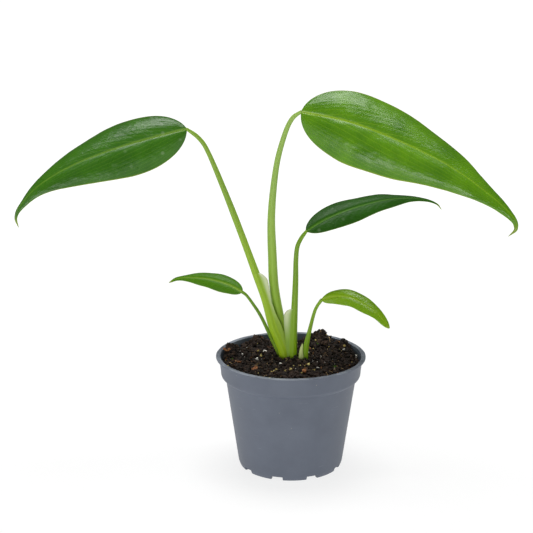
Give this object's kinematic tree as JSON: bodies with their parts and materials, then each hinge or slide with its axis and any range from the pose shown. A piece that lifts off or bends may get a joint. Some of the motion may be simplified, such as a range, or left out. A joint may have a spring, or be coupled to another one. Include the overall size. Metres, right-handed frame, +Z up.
{
  "type": "potted monstera",
  "caption": "Young monstera in a round grey nursery pot, with long undivided pointed leaves on arching sheathed stalks above dark potting soil.",
  "frame": {"origin": "centre of the pot's base, on the surface it stands on", "axes": "+Z up, +X along the spread of the leaves towards the largest leaf, -Y towards the side from which both tall leaves show their upper face"},
  "size_m": [0.3815, 0.1199, 0.3022],
  "materials": {
    "pot_plastic": "satin",
    "soil": "matte",
    "root": "satin",
    "stalk": "satin",
    "blade": "gloss",
    "young_blade": "satin",
    "perlite": "matte",
    "bark": "matte",
    "moss": "matte"
  },
  "bodies": {
    "root": {"nursery_pot": "pot_plastic", "potting_soil": "soil", "root_crown": "root", "leaf_stalk_middle": "stalk", "leaf_stalk_tall_left": "stalk", "leaf_stalk_tall_right": "stalk", "leaf_stalk_small_right": "stalk", "leaf_stalk_small_left": "stalk", "leaf_blade_tall_right": "blade", "leaf_blade_tall_left": "blade", "leaf_blade_middle": "blade", "leaf_blade_small_left": "blade", "leaf_blade_small_right": "young_blade", "new_shoot": "young_blade", "perlite_01": "perlite", "perlite_02": "perlite", "perlite_03": "perlite", "perlite_04": "perlite", "perlite_05": "perlite", "perlite_06": "perlite", "perlite_07": "perlite", "perlite_08": "perlite", "perlite_09": "perlite", "perlite_10": "perlite", "perlite_11": "perlite", "perlite_12": "perlite", "bark_chip_01": "bark", "bark_chip_02": "bark", "bark_chip_03": "bark", "bark_chip_04": "bark", "bark_chip_05": "bark", "moss_01": "moss", "moss_02": "moss", "moss_03": "moss"}
  },
  "joints": []
}
